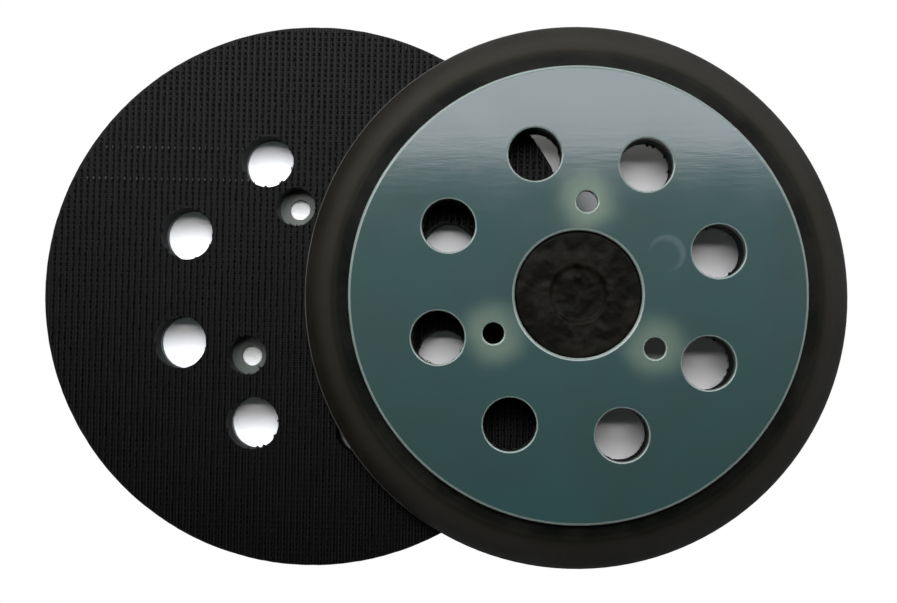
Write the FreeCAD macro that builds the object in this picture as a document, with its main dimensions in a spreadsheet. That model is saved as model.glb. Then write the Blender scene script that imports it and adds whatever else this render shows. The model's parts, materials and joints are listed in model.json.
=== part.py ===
import FreeCAD, Part
import math
import os
import Sketcher

# Two identical round backing pads for an orbital sander, lying one on the other.
#
# A pad is built in its own frame: the tips of its hooks are at Z = 0, its centre line is the Z axis, and
# its layers follow upwards: hook sheet, adhesive film, foam cushion, backing plate.
# The rear pad lies on its plate, hooks up. The front pad lies hooks down on it, set off to one side.
# The pair's frame: +Z up, the surface it lies on at Z = 0, the row of pads along X, the origin below the
# middle of the pair. All sizes are in millimetres and degrees.

SIZES = {
    "pad_dia": 125.0,        # hook sheet and film, the widest part of the pad
    "foam_inset": 0.4,       # the foam's skirt stands back from the film's edge by this much
    "hook_thick": 1.6,       # base cloth and hooks together
    "film_thick": 0.2,
    "foam_thick": 7.2,       # from the film to the plate's underside
    "skirt_rise": 1.5,       # upright part of the foam's edge, below the slope
    "ledge_width": 3.3,      # flat foam round the plate
    "shoulder_round": 1.2,   # rounding between that ledge and the slope
    "plate_dia": 103.5,
    "plate_thick": 3.0,
    "plate_sunk": 1.0,       # how deep the plate is let into the foam
    "plate_fit": 0.1,        # gap all round between the plate and the foam's upright walls
    "rim_bevel": 0.7,        # bevel of the plate's outer edge and of its centre hole
    "hole_bevel": 0.4,       # bevel of the plate's dust holes and screw holes
    "hub_dia": 28.6,         # the plate's centre hole, filled by the foam's plug
    "plug_drop": 1.0,        # the plug's top lies this far below the plate's face
    "dimple_dia": 12.8,
    "dimple_depth": 0.6,
    "dust_count": 8,
    "dust_dia": 12.0,
    "dust_pcd": 66.0,
    "dust_start": 22.5,      # angle of the first dust hole
    "screw_count": 3,
    "screw_dia": 4.8,
    "screw_pcd": 42.0,
    "screw_start": 90.0,     # angle of the first screw hole
    "access_dia": 9.0,       # holes below the screw holes, wide enough for the screw heads
    "centre_gap": 60.6,      # from the rear pad's centre to the front pad's, along X
    "centre_drop": 0.5,      # the front pad lies this much nearer, along -Y
    "stack_gap": 0.3,        # between the two hook faces
    "front_turn": -5.4,      # each pad's own turn about its centre line
    "rear_turn": -48.0,
}

# Heights in a pad's frame and shared radii, as expressions on the sheet.
FILM_BASE = "sizes.hook_thick"
FOAM_BASE = f"({FILM_BASE} + sizes.film_thick)"
PLATE_BASE = f"({FOAM_BASE} + sizes.foam_thick)"
PAD_TOP = f"({PLATE_BASE} + sizes.plate_thick)"
LEDGE = f"({PLATE_BASE} + sizes.plate_sunk)"
PLUG_TOP = f"({PAD_TOP} - sizes.plug_drop)"
SEAT_RADIUS = "(sizes.plate_dia / 2 + sizes.plate_fit)"
PLUG_RADIUS = "(sizes.hub_dia / 2 - sizes.plate_fit)"
FOAM_RADIUS = "(sizes.pad_dia / 2 - sizes.foam_inset)"
NEAR = 1e-4  # lengths closer than this count as equal

doc = FreeCAD.newDocument("backing_pads")


def make_sheet():
    """The spreadsheet that drives every size: a column of names and a column of aliased numbers."""
    sheet = doc.addObject("Spreadsheet::Sheet", "sizes")
    for row, (alias, value) in enumerate(SIZES.items(), start=1):
        sheet.set(f"A{row}", alias)
        sheet.set(f"B{row}", str(value))
        sheet.setAlias(f"B{row}", alias)
    doc.recompute()


def sheet_value(alias):
    return float(doc.getObject("sizes").get(alias))


def new_body(label):
    body = doc.addObject("PartDesign::Body", label)
    body.Label = label
    return body


def new_sketch(body, name, role, lift="0", turn="0"):
    """A sketch on one of the body's own origin planes, raised by lift and turned about its normal."""
    plane = [item for item in body.Origin.OriginFeatures if item.Role == role][0]
    sketch = body.newObject("Sketcher::SketchObject", name)
    sketch.AttachmentSupport = [(plane, "")]
    sketch.MapMode = "FlatFace"
    sketch.AttachmentOffset = FreeCAD.Placement(
        FreeCAD.Vector(0, 0, 0), FreeCAD.Rotation(FreeCAD.Vector(0, 0, 1), 1.0)
    )
    sketch.setExpression(".AttachmentOffset.Base.z", lift)
    sketch.setExpression(".AttachmentOffset.Rotation.Angle", turn)
    return sketch


def drive(sketch, constraint, expression):
    """Adds a dimension to a sketch and binds it to the sheet."""
    index = sketch.addConstraint(constraint)
    sketch.setExpression(f"Constraints[{index}]", expression)


def add_circle(sketch, radius, pitch=None):
    """A circle about the sketch's origin or, with a pitch radius, about a point on its X axis."""
    start = FreeCAD.Vector(0 if pitch is None else 1, 0, 0)
    circle = sketch.addGeometry(Part.Circle(start, FreeCAD.Vector(0, 0, 1), 1.0), False)
    if pitch is None:
        sketch.addConstraint(Sketcher.Constraint("Coincident", circle, 3, -1, 1))
    else:
        sketch.addConstraint(Sketcher.Constraint("PointOnObject", circle, 3, -1))
        drive(sketch, Sketcher.Constraint("DistanceX", -1, 1, circle, 3, 1.0), pitch)
    drive(sketch, Sketcher.Constraint("Radius", circle, 1.0), radius)


def add_outline(sketch, corners):
    """A closed outline of straight lines. Each corner is (distance from the axis, height), as expressions.

    The corners start spaced round a ring, and the dimensions then pull each one to its place.
    """
    count = len(corners)
    ring = []
    for index in range(count):
        angle = 2 * math.pi * index / count
        ring.append(FreeCAD.Vector(20 + 10 * math.cos(angle), 20 + 10 * math.sin(angle), 0))
    for index in range(count):
        sketch.addGeometry(Part.LineSegment(ring[index], ring[(index + 1) % count]), False)
    for index in range(count):
        sketch.addConstraint(Sketcher.Constraint("Coincident", index, 2, (index + 1) % count, 1))
    for index, (radius, height) in enumerate(corners):
        if radius == "0":
            sketch.addConstraint(Sketcher.Constraint("PointOnObject", index, 1, -2))
        else:
            drive(sketch, Sketcher.Constraint("DistanceX", -1, 1, index, 1, 20.0), radius)
        drive(sketch, Sketcher.Constraint("DistanceY", -1, 1, index, 1, 20.0), height)


def pad_up(body, name, sketch, length):
    pad = body.newObject("PartDesign::Pad", name)
    pad.Profile = sketch
    pad.Type = "Length"
    pad.setExpression("Length", length)
    doc.recompute()
    return pad


def bore_ring(body, name, diameter, pitch_diameter, start, count):
    """Through holes on a circle: one pocket, upwards from Z = 0, and a polar pattern of it."""
    volume = body.Shape.Volume
    sketch = new_sketch(body, f"{name}_sketch", "XY_Plane", turn=start)
    add_circle(sketch, f"{diameter} / 2", pitch=f"{pitch_diameter} / 2")
    pocket = body.newObject("PartDesign::Pocket", name)
    pocket.Profile = sketch
    pocket.Type = "ThroughAll"
    pocket.Reversed = True
    doc.recompute()
    one_hole = volume - pocket.Shape.Volume
    pattern = body.newObject("PartDesign::PolarPattern", f"{name}_ring")
    pattern.Originals = [pocket]
    pattern.Axis = (sketch, ["N_Axis"])
    pattern.Angle = 360
    pattern.setExpression("Occurrences", count)
    body.Tip = pattern
    doc.recompute()
    all_holes = volume - pattern.Shape.Volume
    if one_hole <= NEAR or all_holes <= 1.5 * one_hole:
        raise RuntimeError(f"{body.Label}: {name} cut {one_hole:.3f} and then {all_holes:.3f} mm3")


def bore_dust_holes(body, label):
    pitch, start, count = "sizes.dust_pcd", "sizes.dust_start", "sizes.dust_count"
    bore_ring(body, f"{label}_dust", "sizes.dust_dia", pitch, start, count)


def bore_screw_circle(body, name, diameter):
    bore_ring(body, name, diameter, "sizes.screw_pcd", "sizes.screw_start", "sizes.screw_count")


def circles_at(shape, height, low=0.0, high=math.inf):
    """Names of the shape's round edges at one height whose radius lies between low and high."""
    names = []
    for number, edge in enumerate(shape.Edges, start=1):
        curve = edge.Curve
        if not isinstance(curve, Part.Circle) or abs(edge.CenterOfMass.z - height) > NEAR:
            continue
        if low <= curve.Radius <= high:
            names.append(f"Edge{number}")
    return names


def dress(body, kind, name, edges, size_name, size):
    """A fillet or a chamfer on the named edges of the body's tip."""
    if not edges:
        raise RuntimeError(f"{body.Label}: no edges for {name}")
    before = body.Tip
    volume = before.Shape.Volume
    feature = body.newObject(kind, name)
    feature.Base = (before, edges)
    feature.setExpression(size_name, size)
    body.Tip = feature
    doc.recompute()
    if body.Shape.Volume >= volume - NEAR:
        raise RuntimeError(f"{body.Label}: {name} took nothing off")


def make_plate(label):
    """The stiff moulded plate: a ring with screw holes and dust holes, bevelled on its outer face."""
    body = new_body(label)
    sketch = new_sketch(body, f"{label}_sketch", "XY_Plane", lift=PLATE_BASE)
    add_circle(sketch, "sizes.plate_dia / 2")
    add_circle(sketch, "sizes.hub_dia / 2")
    plate = pad_up(body, f"{label}_pad", sketch, "sizes.plate_thick")
    top = plate.Shape.BoundBox.ZMax
    bore_dust_holes(body, label)
    bore_screw_circle(body, f"{label}_screws", "sizes.screw_dia")
    hub_radius = sheet_value("hub_dia") / 2
    rims = circles_at(body.Shape, top, low=hub_radius - NEAR)
    dress(body, "PartDesign::Chamfer", f"{label}_rim_bevel", rims, "Size", "sizes.rim_bevel")
    holes = circles_at(body.Shape, top, high=hub_radius - NEAR)
    dress(body, "PartDesign::Chamfer", f"{label}_hole_bevel", holes, "Size", "sizes.hole_bevel")
    return body


def is_flat_ring(face, inner_radius):
    """Whether a face is a level ring whose inner edge has this radius."""
    flat = face.BoundBox.ZLength < NEAR
    radii = [edge.Curve.Radius for edge in face.Edges if isinstance(edge.Curve, Part.Circle)]
    return flat and len(radii) == 2 and abs(min(radii) - inner_radius) < NEAR


def make_foam(label):
    """The moulded foam: a skirt and a slope, a seat for the plate, and a dimpled plug in its middle."""
    body = new_body(label)
    sketch = new_sketch(body, f"{label}_sketch", "XZ_Plane")
    shoulder = f"({SEAT_RADIUS} + sizes.ledge_width)"
    dimple = "(sizes.dimple_dia / 2)"
    outline = [
        ("0", FOAM_BASE),
        (FOAM_RADIUS, FOAM_BASE),
        (FOAM_RADIUS, f"({FOAM_BASE} + sizes.skirt_rise)"),
        (shoulder, LEDGE),
        (SEAT_RADIUS, LEDGE),
        (SEAT_RADIUS, PLATE_BASE),
        (PLUG_RADIUS, PLATE_BASE),
        (PLUG_RADIUS, PLUG_TOP),
        (dimple, PLUG_TOP),
        (dimple, f"({PLUG_TOP} - sizes.dimple_depth)"),
        ("0", f"({PLUG_TOP} - sizes.dimple_depth)"),
    ]
    add_outline(sketch, outline)
    turned = body.newObject("PartDesign::Revolution", f"{label}_revolution")
    turned.Profile = sketch
    turned.ReferenceAxis = (sketch, ["V_Axis"])
    turned.Angle = 360
    body.Tip = turned
    doc.recompute()
    seat_radius = sheet_value("plate_dia") / 2 + sheet_value("plate_fit")
    ledge = [face.BoundBox.ZMax for face in turned.Shape.Faces if is_flat_ring(face, seat_radius)][0]
    edges = circles_at(body.Shape, ledge, low=seat_radius + NEAR)
    dress(body, "PartDesign::Fillet", f"{label}_shoulder", edges, "Radius", "sizes.shoulder_round")
    bore_dust_holes(body, label)
    bore_screw_circle(body, f"{label}_access", "sizes.access_dia")
    return body


def make_disc(label, base, thick):
    """A thin disc as wide as the pad with the dust holes and the screw access holes in it."""
    body = new_body(label)
    sketch = new_sketch(body, f"{label}_sketch", "XY_Plane", lift=base)
    add_circle(sketch, "sizes.pad_dia / 2")
    pad_up(body, f"{label}_pad", sketch, thick)
    bore_dust_holes(body, label)
    bore_screw_circle(body, f"{label}_access", "sizes.access_dia")
    return body


def make_layers(side):
    """The four layers of one pad, in the pad's own frame."""
    return [
        make_plate(f"{side}_backing_plate"),
        make_foam(f"{side}_foam_cushion"),
        make_disc(f"{side}_adhesive_film", FILM_BASE, "sizes.film_thick"),
        make_disc(f"{side}_hook_sheet", "0", "sizes.hook_thick"),
    ]


def place(bodies, rotation, x, y, z):
    """Turns a pad's layers and binds their place to the sheet."""
    for body in bodies:
        body.Placement = FreeCAD.Placement(FreeCAD.Vector(0, 0, 0), rotation)
        body.setExpression(".Placement.Base.x", x)
        body.setExpression(".Placement.Base.y", y)
        body.setExpression(".Placement.Base.z", z)


def check_document():
    """Stops the run if any object of the document has failed."""
    for item in doc.Objects:
        if "Invalid" in item.State or "Error" in item.State:
            raise RuntimeError(f"{item.Label} failed: {item.State}")


def check_piece(body):
    """Stops the run unless the piece is one valid solid."""
    shape = body.Shape
    if shape.isNull() or not shape.isValid() or len(shape.Solids) != 1:
        raise RuntimeError(f"{body.Label} isn't one valid solid")


make_sheet()

# The rear pad lies upside down: half a turn about X, and then its own turn about Z.
upright = FreeCAD.Vector(0, 0, 1)
over = FreeCAD.Rotation(FreeCAD.Vector(1, 0, 0), 180)
rear_turn = FreeCAD.Rotation(upright, sheet_value("rear_turn"))
front_turn = FreeCAD.Rotation(upright, sheet_value("front_turn"))

rear = make_layers("rear")
front = make_layers("front")
place(rear, rear_turn.multiply(over), "-sizes.centre_gap / 2", "sizes.centre_drop / 2", PAD_TOP)
place(front, front_turn, "sizes.centre_gap / 2", "-sizes.centre_drop / 2", f"{PAD_TOP} + sizes.stack_gap")

doc.recompute()
check_document()
os.makedirs("parts", exist_ok=True)
for piece in rear + front:
    check_piece(piece)
for piece in rear + front:
    piece.Shape.exportStep(f"parts/{piece.Label}.step")
    box = piece.Shape.BoundBox
    print(f"{piece.Label}: {piece.Shape.Volume:.1f} mm3, Z {box.ZMin:.2f} to {box.ZMax:.2f}")
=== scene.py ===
# %% [markdown]
# # Two backing pads for an orbital sander
# A backing pad is the round sole that an orbital sander drives. It is a sandwich: a stiff translucent plate
# that is screwed to the machine, a foam cushion, a thin adhesive film, and a woven sheet of small nylon hooks
# that grips the abrasive disc. Here one pad lies on its plate with its hooks up, and a second one lies on it,
# hooks down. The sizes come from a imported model, so the first cell loads it and reads its boxes.

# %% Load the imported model
import json
import math

import bmesh
import bpy
from mathutils import Matrix, Vector, noise


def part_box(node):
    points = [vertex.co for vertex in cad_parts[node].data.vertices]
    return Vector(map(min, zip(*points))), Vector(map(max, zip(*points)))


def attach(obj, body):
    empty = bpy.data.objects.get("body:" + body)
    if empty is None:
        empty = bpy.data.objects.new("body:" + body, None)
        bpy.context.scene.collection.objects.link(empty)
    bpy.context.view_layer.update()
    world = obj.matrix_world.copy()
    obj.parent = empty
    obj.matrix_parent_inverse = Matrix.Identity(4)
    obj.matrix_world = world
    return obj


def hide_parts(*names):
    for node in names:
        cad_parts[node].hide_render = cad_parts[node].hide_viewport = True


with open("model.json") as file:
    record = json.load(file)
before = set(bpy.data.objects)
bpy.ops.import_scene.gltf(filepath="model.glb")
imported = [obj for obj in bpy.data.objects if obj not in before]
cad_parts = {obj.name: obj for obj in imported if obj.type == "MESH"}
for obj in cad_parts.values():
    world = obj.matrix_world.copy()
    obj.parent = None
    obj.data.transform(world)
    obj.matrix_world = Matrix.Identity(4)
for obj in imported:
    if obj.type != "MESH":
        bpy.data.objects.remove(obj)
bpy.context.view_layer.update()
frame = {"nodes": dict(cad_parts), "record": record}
MM = 0.001
SIDES = ("rear", "front")
record = frame["record"]
mounts = {mount["name"]: mount for mount in record["mounts"]}

# %% [markdown]
# ## One pad's own frame
# Both pads are the same product, so every piece is modelled once, in a frame where the hook tips are at Z = 0
# and the layers follow upwards, and is then placed. The front pad is only moved. The rear pad is also turned
# over, by half a turn about X, which keeps its faces pointing outwards, where a mirror would not.
# The holes' places are read from the model's stated openings and turned back into that frame.

# %% Where each pad is
def box_middle(box):
    return [(low + high) / 2 for low, high in zip(*box)]


def pad_matrix(side):
    """From a pad's own frame to where the pad lies."""
    low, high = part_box(f"{side}_hook_sheet")
    middle = (low + high) / 2
    if side == "front":
        return Matrix.Translation((middle[0], middle[1], low[2]))
    return Matrix.Translation((middle[0], middle[1], high[2])) @ Matrix.Rotation(math.pi, 4, "X")


def hole_centres(side, kind):
    """The centres of one kind of hole, in the pad's own frame."""
    back = pad_matrix(side).inverted()
    found = []
    for opening in record["physics"]["openings"]:
        if opening["name"].startswith(f"{side}_{kind}"):
            point = back @ Vector(box_middle(opening["box_m"]))
            found.append((point.x, point.y))
    return found


def thickness(node):
    low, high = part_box(node)
    return high[2] - low[2]


PLACE = {side: pad_matrix(side) for side in SIDES}
DUST_HOLES = {side: hole_centres(side, "dust_hole") for side in SIDES}
SCREW_HOLES = {side: hole_centres(side, "screw_pocket") for side in SIDES}
for side in SIDES:
    print(side, "pad:", len(DUST_HOLES[side]), "dust holes,", len(SCREW_HOLES[side]), "screw holes")

# %% [markdown]
# ## Sizes
# The model's boxes give the thickness of each layer, and its mounts the radius of each hole. What they can't
# show, such as a bevel or the foam's slope, is named here.

# %% Sizes of the layers
HOOK_THICK = thickness("front_hook_sheet")
FILM_THICK = thickness("front_adhesive_film")
FOAM_BASE = HOOK_THICK + FILM_THICK
PAD_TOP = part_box("front_backing_plate")[1][2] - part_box("front_hook_sheet")[0][2]
PLATE_BASE = PAD_TOP - thickness("front_backing_plate")
PLUG_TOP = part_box("front_foam_cushion")[1][2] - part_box("front_hook_sheet")[0][2]
DUST_R = mounts["front_dust_holes"]["dims"]["hole_r_mm"] * MM
SCREW_R = mounts["front_screw_holes"]["dims"]["hole_r_mm"] * MM
PAD_R = 62.5 * MM
FOAM_R = 62.1 * MM
PLATE_R = 51.75 * MM
HUB_R = 14.3 * MM
ACCESS_R = 4.5 * MM       # the screw heads' pockets, through the hook sheet, the film and the foam
PLATE_FIT = 0.1 * MM      # room between the plate and the foam round it
RIM_BEVEL = 0.7 * MM      # the plate's outer edge and the edge of its centre hole
HOLE_BEVEL = 0.4 * MM
PLATE_SUNK = 1.0 * MM
LEDGE_WIDTH = 3.3 * MM
SHOULDER_ROUND = 1.2 * MM
SKIRT_RISE = 1.5 * MM
DIMPLE_R = 6.4 * MM
DIMPLE_DEPTH = 0.6 * MM
CLOTH_THICK = 0.7 * MM    # the hook sheet's woven ground, without its hooks
print("one pad is", round(PAD_TOP / MM, 2), "mm thick")

# %% [markdown]
# ## The camera
# The pads are seen from nearly straight above, by a lens of moderate length, so the plates look a little
# larger than they would from far away. The camera's distance and the width it takes in fix its focal length.
# It stands nearer to the front pad, and a small sideways shift of the lens keeps both pads in the frame.

# %% Camera
CAMERA_DISTANCE = 0.38    # from the hook faces
CAMERA_AIM = (0.0100, -0.0014)
CAMERA_TILT = math.radians(2.35)
CAMERA_SHIFT = -0.044
VIEW_WIDTH = 0.2077       # what the view takes in across, at the hook faces
SENSOR_WIDTH = 36.0


def make_camera():
    data = bpy.data.cameras.new("camera")
    data.sensor_width = SENSOR_WIDTH
    data.lens = SENSOR_WIDTH * CAMERA_DISTANCE / VIEW_WIDTH
    data.shift_x = CAMERA_SHIFT
    camera = bpy.data.objects.new("camera", data)
    back = CAMERA_DISTANCE * math.sin(CAMERA_TILT)
    up = CAMERA_DISTANCE * math.cos(CAMERA_TILT)
    camera.location = (CAMERA_AIM[0], CAMERA_AIM[1] - back, PLACE["rear"].translation.z + up)
    camera.rotation_euler = (CAMERA_TILT, 0, 0)
    bpy.context.scene.collection.objects.link(camera)
    bpy.context.scene.camera = camera
    print("lens", round(data.lens, 1), "mm")


make_camera()

# %% [markdown]
# ## Floor, world and lights
# One low softbox does most of the work. It hangs behind the pads, and its near edge is where the sheen on the
# plate ends. A narrow key strip above it draws the straight tops of the shadows in the dust holes, and is
# flagged out of reflections. A window light from far behind makes the far rim brighter than the near one.
# The room is dim, and what the plate mirrors of it fades towards the viewer. The floor is white. To stay
# white beside such dark pads, it answers the camera with more light than it gives to the pads. Beyond the
# pads' outline it is blank white, as on a catalogue page.

# %% Floor and world
FLOOR_HALF = 3.0
FLOOR_ALBEDO = 0.8
FLOOR_SHOWN = 3.4         # the floor's albedo for the camera alone
FLOOR_FADE = (-3 * MM, MM)    # where the floor turns blank white, from the pads' outline
WORLD_LIGHT = 0.03
WORLD_MIRRORED = (0.02, 0.26)     # the room in glossy pieces: on the viewer's side, and on the far side
WORLD_TURN = (-0.12, 0.10)    # the directions in Y between which it changes
WORLD_SHOWN = 1.0

bpy.context.scene.view_settings.view_transform = "Standard"


def add_node(tree, kind, inputs=(), **settings):
    """Adds a node, sets its properties, and fills its inputs. An input is a value, a socket or None."""
    made = tree.nodes.new(kind)
    for key, value in settings.items():
        setattr(made, key, value)
    pairs = inputs.items() if isinstance(inputs, dict) else enumerate(inputs)
    for key, value in pairs:
        if isinstance(value, bpy.types.NodeSocket):
            tree.links.new(value, made.inputs[key])
        elif value is not None:
            made.inputs[key].default_value = value
    return made


def empty_material(name):
    """A material with a node tree that holds nothing but its output."""
    material = bpy.data.materials.new(name)
    material.use_nodes = True
    material.node_tree.nodes.clear()
    material.node_tree.nodes.new("ShaderNodeOutputMaterial")
    return material, material.node_tree


def grey(value):
    return (value, value, value, 1.0)


def make_floor():
    material, tree = empty_material("floor")
    seen = add_node(tree, "ShaderNodeLightPath").outputs["Is Camera Ray"]
    real = add_node(tree, "ShaderNodeBsdfDiffuse", {"Color": grey(FLOOR_ALBEDO)})
    under = add_node(tree, "ShaderNodeBsdfDiffuse", {"Color": grey(FLOOR_SHOWN)})
    blank = add_node(tree, "ShaderNodeEmission", {"Color": grey(1.0), "Strength": 1.0})
    place = add_node(tree, "ShaderNodeTexCoord").outputs["Object"]
    near = FLOOR_HALF
    for side in SIDES:
        foot = (PLACE[side].translation.x, PLACE[side].translation.y, 0.0)
        away = add_node(tree, "ShaderNodeVectorMath", [place, foot], operation="DISTANCE").outputs["Value"]
        near = add_node(tree, "ShaderNodeMath", [away, near], operation="MINIMUM").outputs[0]
    inputs = {"Value": near, "From Min": PAD_R + FLOOR_FADE[0], "From Max": PAD_R + FLOOR_FADE[1]}
    beyond = add_node(tree, "ShaderNodeMapRange", inputs, interpolation_type="SMOOTHSTEP").outputs["Result"]
    shown = add_node(tree, "ShaderNodeMixShader", [beyond, under.outputs[0], blank.outputs[0]])
    mix = add_node(tree, "ShaderNodeMixShader", [seen, real.outputs[0], shown.outputs[0]])
    tree.links.new(mix.outputs[0], tree.nodes["Material Output"].inputs["Surface"])
    mesh = bpy.data.meshes.new("floor")
    corners = [(-1, -1), (1, -1), (1, 1), (-1, 1)]
    mesh.from_pydata([(x * FLOOR_HALF, y * FLOOR_HALF, 0.0) for x, y in corners], [], [(0, 1, 2, 3)])
    mesh.materials.append(material)
    floor = bpy.data.objects.new("floor", mesh)
    bpy.context.scene.collection.objects.link(floor)


def make_world():
    world = bpy.data.worlds.new("studio")
    world.use_nodes = True
    tree = world.node_tree
    tree.nodes.clear()
    path = add_node(tree, "ShaderNodeLightPath").outputs
    way = add_node(tree, "ShaderNodeTexCoord").outputs["Generated"]
    far = add_node(tree, "ShaderNodeSeparateXYZ", [way]).outputs["Y"]
    inputs = {"Value": far, "From Min": WORLD_TURN[0], "From Max": WORLD_TURN[1],
              "To Min": WORLD_MIRRORED[0], "To Max": WORLD_MIRRORED[1]}
    strength = add_node(tree, "ShaderNodeMapRange", inputs, interpolation_type="SMOOTHSTEP").outputs["Result"]
    light = add_node(tree, "ShaderNodeBackground", {"Color": grey(1.0), "Strength": WORLD_LIGHT})
    room = add_node(tree, "ShaderNodeBackground", {"Color": grey(1.0), "Strength": strength})
    shown = add_node(tree, "ShaderNodeBackground", {"Color": grey(WORLD_SHOWN), "Strength": 1.0})
    glossy = [path["Is Glossy Ray"], light.outputs[0], room.outputs[0]]
    mirrored = add_node(tree, "ShaderNodeMixShader", glossy)
    camera = [path["Is Camera Ray"], mirrored.outputs[0], shown.outputs[0]]
    mix = add_node(tree, "ShaderNodeMixShader", camera)
    output = tree.nodes.new("ShaderNodeOutputWorld")
    tree.links.new(mix.outputs[0], output.inputs["Surface"])
    bpy.context.scene.world = world


make_floor()
make_world()

# %% Lights
PADS_MIDDLE = Vector((0.0, 0.0, PLACE["rear"].translation.z))


def area_light(name, place, size, radiance, colour, aim=None):
    """A rectangular light of this brightness that points straight down, or at a place."""
    data = bpy.data.lights.new(name, "AREA")
    data.shape = "RECTANGLE"
    data.size, data.size_y = size
    data.energy = radiance * math.pi * size[0] * size[1]
    data.color = colour
    light = bpy.data.objects.new(name, data)
    light.location = place
    if aim is not None:
        light.rotation_euler = (aim - Vector(place)).to_track_quat("-Z", "Y").to_euler()
    light.visible_camera = False
    bpy.context.scene.collection.objects.link(light)
    print(name, "light:", round(data.energy, 2), "W")
    return light


area_light("softbox", (0.0, 0.187, 0.38), (0.66, 0.22), 3.5, (0.96, 0.97, 1.02))
area_light("window", (-0.45, 0.78, 0.55), (1.0, 0.5), 1.6, (1.0, 0.98, 0.94), aim=PADS_MIDDLE)
key = area_light("key", (0.02, 0.11, 0.80), (0.30, 0.04), 12.5, (1.0, 0.97, 0.97))
key.visible_glossy = False

# %% [markdown]
# ## Round layers
# Each layer is a disc with round holes, so one small kit makes them all. A wall is a stack of level rings
# joined by quads, and it can follow any section, such as a bevel or a slope. A level face is filled between
# the rings that bound it, and keeps a flat shading, so that it mirrors like a flat face. A Boolean would be
# shorter, but it leaves uneven points, and these rings can be roughened later.

# %% Rings, walls and level faces
RIM_STEPS = 288           # points round the pad's edge
PLUG_STEPS = 128          # points round the centre hole and its plug
HOLE_STEPS = 72
ROUND_STEPS = 4           # facets across a rounded edge


def ring(shape, centre, radius, height, steps):
    """A level circle of points."""
    points = []
    for step in range(steps):
        angle = 2 * math.pi * step / steps
        x = centre[0] + radius * math.cos(angle)
        y = centre[1] + radius * math.sin(angle)
        points.append(shape.verts.new((x, y, height)))
    return points


def wall(shape, centre, profile, steps):
    """A round wall along a section of (radius, height) pairs. Gives its rings."""
    rings = [ring(shape, centre, radius, height, steps) for radius, height in profile]
    for first, second in zip(rings, rings[1:]):
        for step in range(steps):
            after = (step + 1) % steps
            shape.faces.new((first[step], first[after], second[after], second[step]))
    return rings


def level_face(shape, rings):
    """Fills the level area that an outer ring and the rings of its holes bound."""
    bounds = []
    for points in rings:
        for step, point in enumerate(points):
            bounds.append(shape.edges.get((point, points[(step + 1) % len(points)])))
    made = bmesh.ops.triangle_fill(shape, edges=bounds, use_beauty=True)
    for face in made["geom"]:
        if isinstance(face, bmesh.types.BMFace):
            face.smooth = False


def hole_walls(shape, side, levels):
    """The straight walls of a pad's dust holes and screw pockets. Gives each one's rings."""
    holes = [(centre, DUST_R) for centre in DUST_HOLES[side]]
    holes += [(centre, ACCESS_R) for centre in SCREW_HOLES[side]]
    found = []
    for centre, radius in holes:
        found.append(wall(shape, centre, [(radius, level) for level in levels], HOLE_STEPS))
    return found


def rounded(radius, top, bevel, inward):
    """A quarter round up to the level face at top. inward is 1 on an outer edge and -1 in a hole."""
    points = []
    for step in range(ROUND_STEPS + 1):
        angle = math.pi / 2 * step / ROUND_STEPS
        reach = radius - inward * bevel * (1 - math.cos(angle))
        points.append((reach, top - bevel * (1 - math.sin(angle))))
    return points


def finished_piece(shape, name, side, material, crease=30.0):
    """Turns the modelled shape into an object that lies where its pad lies.

    Marking sharp edges by their angle clears the flat mark of the level faces, so it is put back.
    """
    bmesh.ops.recalc_face_normals(shape, faces=shape.faces)
    mesh = bpy.data.meshes.new(name)
    shape.to_mesh(mesh)
    shape.free()
    mesh.transform(PLACE[side])
    level = [face for face in mesh.polygons if not face.use_smooth]
    mesh.set_sharp_from_angle(angle=math.radians(crease))
    for face in level:
        face.use_smooth = False
    mesh.materials.append(material)
    piece = bpy.data.objects.new(name, mesh)
    bpy.context.scene.collection.objects.link(piece)
    print(name, len(mesh.polygons), "faces")
    return piece


def smooth_walls(shape):
    """Rounds the shading of everything that is modelled so far."""
    for face in shape.faces:
        face.smooth = True


# %% [markdown]
# ## Shader groups
# Several finishes share the same small effects: a fine grain, broad clouds of colour, pale specks of dust,
# soft round spots, and a waver that bends a pattern. Each effect is a node group that gives only a height, a
# colour, a mask or a place. What a material does with it, and every shader, stays in the material.

# %% Group helpers
def new_group(name, inputs, outputs):
    """A shader node group with named sockets. Gives the group, its inputs and its outputs."""
    group = bpy.data.node_groups.new(name, "ShaderNodeTree")
    for label, kind, value in inputs:
        socket = group.interface.new_socket(name=label, in_out="INPUT", socket_type=f"NodeSocket{kind}")
        if value is not None:
            socket.default_value = value
    for label, kind in outputs:
        group.interface.new_socket(name=label, in_out="OUTPUT", socket_type=f"NodeSocket{kind}")
    given = group.nodes.new("NodeGroupInput").outputs
    return group, given, group.nodes.new("NodeGroupOutput").inputs


def math_node(tree, operation, first, second=None, clamp=False):
    return add_node(tree, "ShaderNodeMath", [first, second], operation=operation, use_clamp=clamp).outputs[0]


def vector_node(tree, operation, first, second):
    return add_node(tree, "ShaderNodeVectorMath", [first, second], operation=operation).outputs[0]


def level_reach(tree, place):
    """How far a place is from the middle axis."""
    level = vector_node(tree, "MULTIPLY", place, (1, 1, 0))
    return add_node(tree, "ShaderNodeVectorMath", [level], operation="LENGTH").outputs["Value"]


def fade(tree, value, start, end, low=0.0, high=1.0):
    """Turns a value between start and end into one between low and high, smoothly."""
    inputs = {"Value": value, "From Min": start, "From Max": end, "To Min": low, "To Max": high}
    return add_node(tree, "ShaderNodeMapRange", inputs, interpolation_type="SMOOTHSTEP").outputs["Result"]


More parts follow.
